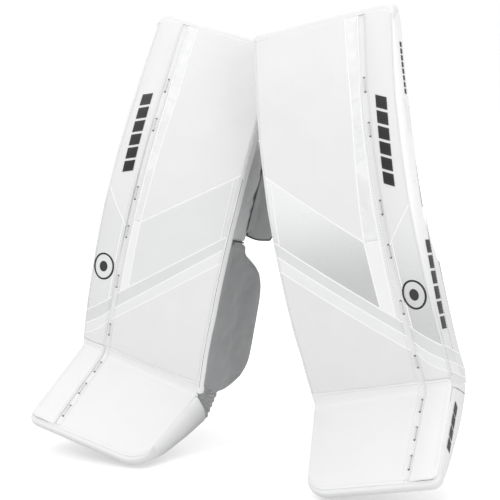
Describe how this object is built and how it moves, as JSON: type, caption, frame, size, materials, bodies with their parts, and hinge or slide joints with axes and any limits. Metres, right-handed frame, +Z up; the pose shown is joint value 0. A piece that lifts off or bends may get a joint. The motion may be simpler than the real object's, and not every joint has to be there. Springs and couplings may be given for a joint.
{
  "type": "goalie leg pads",
  "caption": "Pair of ice hockey goalie leg pads with raised laced outer rolls, flexing boots, hinged calf and knee wings, leg straps and toe sliders.",
  "frame": {"origin": "on the floor, under the centre of the box round the pair", "axes": "+Z up, the faces of the pads towards -Y, +X from the right-leg pad to the left-leg pad"},
  "size_m": [0.828, 0.4062, 0.8532],
  "materials": {
    "face_leather": "white synthetic leather, fine grain, satin",
    "gloss_panel": "pearl-white glossy printed panel",
    "edge_leather": "white synthetic leather edge strip, satin",
    "side_leather": "white synthetic leather side wall, satin",
    "wing_nylon": "grey woven nylon with a coated back",
    "core_foam": "closed-cell foam, matt",
    "back_foam": "charcoal foam with a knit back, matt",
    "plate_plastic": "black sheet, matt",
    "liner_knit": "grey brushed knit",
    "strap_webbing": "black elastic webbing",
    "toe_plastic": "black moulded plastic",
    "lace_cord": "white flat lace"
  },
  "bodies": {
    "right_shin": {"right_face_cover": "face_leather", "right_face_core": "core_foam", "right_stiffener_plate": "plate_plastic", "right_rear_foam": "back_foam", "right_medial_edge_strip": "edge_leather", "right_outer_roll_upper": "face_leather", "right_outer_roll_lower": "gloss_panel", "right_roll_lace": "lace_cord", "right_outer_side_wall": "side_leather", "right_calf_gusset": "side_leather", "right_calf_cradle": "liner_knit", "right_knee_cradle": "liner_knit", "right_thigh_pad": "liner_knit", "right_knee_block": "wing_nylon"},
    "right_medial_calf_wing": {"right_medial_calf_wing": "wing_nylon"},
    "right_outer_calf_wing": {"right_outer_calf_wing": "wing_nylon"},
    "right_medial_knee_wing": {"right_medial_knee_wing": "wing_nylon"},
    "right_outer_knee_wing": {"right_outer_knee_wing": "wing_nylon"},
    "right_calf_strap": {"right_calf_strap": "strap_webbing"},
    "right_knee_strap": {"right_knee_strap": "strap_webbing"},
    "right_toe_slider": {"right_toe_slider": "toe_plastic"},
    "right_boot": {"right_boot_cover": "face_leather", "right_boot_roll": "face_leather", "right_boot_lace": "lace_cord", "right_boot_core": "core_foam", "right_boot_medial_gusset": "side_leather", "right_boot_outer_gusset": "side_leather", "right_toe_edge": "edge_leather", "right_boot_liner": "liner_knit", "right_toe_bridge": "toe_plastic"},
    "left_shin": {"left_face_cover": "face_leather", "left_face_core": "core_foam", "left_stiffener_plate": "plate_plastic", "left_rear_foam": "back_foam", "left_medial_edge_strip": "edge_leather", "left_outer_roll_upper": "face_leather", "left_outer_roll_lower": "gloss_panel", "left_roll_lace": "lace_cord", "left_outer_side_wall": "side_leather", "left_calf_gusset": "side_leather", "left_calf_cradle": "liner_knit", "left_knee_cradle": "liner_knit", "left_thigh_pad": "liner_knit", "left_knee_block": "wing_nylon"},
    "left_medial_calf_wing": {"left_medial_calf_wing": "wing_nylon"},
    "left_outer_calf_wing": {"left_outer_calf_wing": "wing_nylon"},
    "left_medial_knee_wing": {"left_medial_knee_wing": "wing_nylon"},
    "left_outer_knee_wing": {"left_outer_knee_wing": "wing_nylon"},
    "left_calf_strap": {"left_calf_strap": "strap_webbing"},
    "left_knee_strap": {"left_knee_strap": "strap_webbing"},
    "left_toe_slider": {"left_toe_slider": "toe_plastic"},
    "left_boot": {"left_boot_cover": "face_leather", "left_boot_roll": "face_leather", "left_boot_lace": "lace_cord", "left_boot_core": "core_foam", "left_boot_medial_gusset": "side_leather", "left_boot_outer_gusset": "side_leather", "left_toe_edge": "edge_leather", "left_boot_liner": "liner_knit", "left_toe_bridge": "toe_plastic"}
  },
  "joints": [
    {"name": "left_pad_set_apart", "type": "slide", "parent": "right_shin", "child": "left_shin", "axis": [1, 0, 0], "range_m": [0, 0.4]},
    {"name": "right_boot_flex", "type": "hinge", "parent": "right_shin", "child": "right_boot", "pos_m": [-0.26608, -0.03871, 0.15094], "axis": [0.9655, 0.0191, -0.2598], "range_deg": [-12, 6]},
    {"name": "right_medial_calf_wing_open", "type": "hinge", "parent": "right_shin", "child": "right_medial_calf_wing", "pos_m": [-0.13088, -0.0073, 0.12766], "axis": [-0.1935, 0.0098, -0.9811], "range_deg": [0, 30]},
    {"name": "right_outer_calf_wing_open", "type": "hinge", "parent": "right_shin", "child": "right_outer_calf_wing", "pos_m": [-0.39318, 0.04239, 0.19354], "axis": [0.1937, -0.032, 0.9805], "range_deg": [0, 35]},
    {"name": "right_medial_knee_wing_open", "type": "hinge", "parent": "right_shin", "child": "right_medial_knee_wing", "pos_m": [-0.07546, 0.05765, 0.42045], "axis": [-0.1883, -0.1785, -0.9658], "range_deg": [0, 25]},
    {"name": "right_outer_knee_wing_open", "type": "hinge", "parent": "right_shin", "child": "right_outer_knee_wing", "pos_m": [-0.33438, 0.00774, 0.48978], "axis": [0.1876, 0.1923, 0.9632], "range_deg": [0, 35]},
    {"name": "right_calf_strap_open", "type": "hinge", "parent": "right_outer_calf_wing", "child": "right_calf_strap", "pos_m": [-0.31117, 0.11611, 0.28305], "axis": [0.1935, -0.1103, 0.9749], "range_deg": [0, 100]},
    {"name": "right_knee_strap_open", "type": "hinge", "parent": "right_outer_knee_wing", "child": "right_knee_strap", "pos_m": [-0.24516, 0.1276, 0.5359], "axis": [0.1935, -0.1103, 0.9749], "range_deg": [0, 100]},
    {"name": "right_toe_slider_travel", "type": "slide", "parent": "right_boot", "child": "right_toe_slider", "axis": [-0.9655, -0.0191, 0.2598], "range_m": [-0.02, 0.02]},
    {"name": "left_boot_flex", "type": "hinge", "parent": "left_shin", "child": "left_boot", "pos_m": [0.25012, -0.03871, 0.16744], "axis": [0.9629, 0.0656, 0.2619], "range_deg": [-12, 6]},
    {"name": "left_medial_calf_wing_open", "type": "hinge", "parent": "left_shin", "child": "left_medial_calf_wing", "pos_m": [0.11197, -0.02113, 0.1472], "axis": [-0.1832, -0.1496, 0.9716], "range_deg": [0, 30]},
    {"name": "left_outer_calf_wing_open", "type": "hinge", "parent": "left_shin", "child": "left_outer_calf_wing", "pos_m": [0.36697, 0.05134, 0.22022], "axis": [0.1807, 0.1715, -0.9685], "range_deg": [0, 35]},
    {"name": "left_medial_knee_wing_open", "type": "hinge", "parent": "left_shin", "child": "left_medial_knee_wing", "pos_m": [0.0515, 0.0014, 0.44528], "axis": [-0.2006, 0.0385, 0.9789], "range_deg": [0, 25]},
    {"name": "left_outer_knee_wing_open", "type": "hinge", "parent": "left_shin", "child": "left_outer_knee_wing", "pos_m": [0.31506, -0.02511, 0.50984], "axis": [0.2016, -0.0524, -0.9781], "range_deg": [0, 35]},
    {"name": "left_calf_strap_open", "type": "hinge", "parent": "left_outer_calf_wing", "child": "left_calf_strap", "pos_m": [0.27745, 0.10355, 0.31735], "axis": [0.1712, 0.2479, -0.9535], "range_deg": [0, 100]},
    {"name": "left_knee_strap_open", "type": "hinge", "parent": "left_outer_knee_wing", "child": "left_knee_strap", "pos_m": [0.21254, 0.07687, 0.56933], "axis": [0.1712, 0.2479, -0.9535], "range_deg": [0, 100]},
    {"name": "left_toe_slider_travel", "type": "slide", "parent": "left_boot", "child": "left_toe_slider", "axis": [0.9629, 0.0656, 0.2619], "range_m": [-0.02, 0.02]}
  ]
}
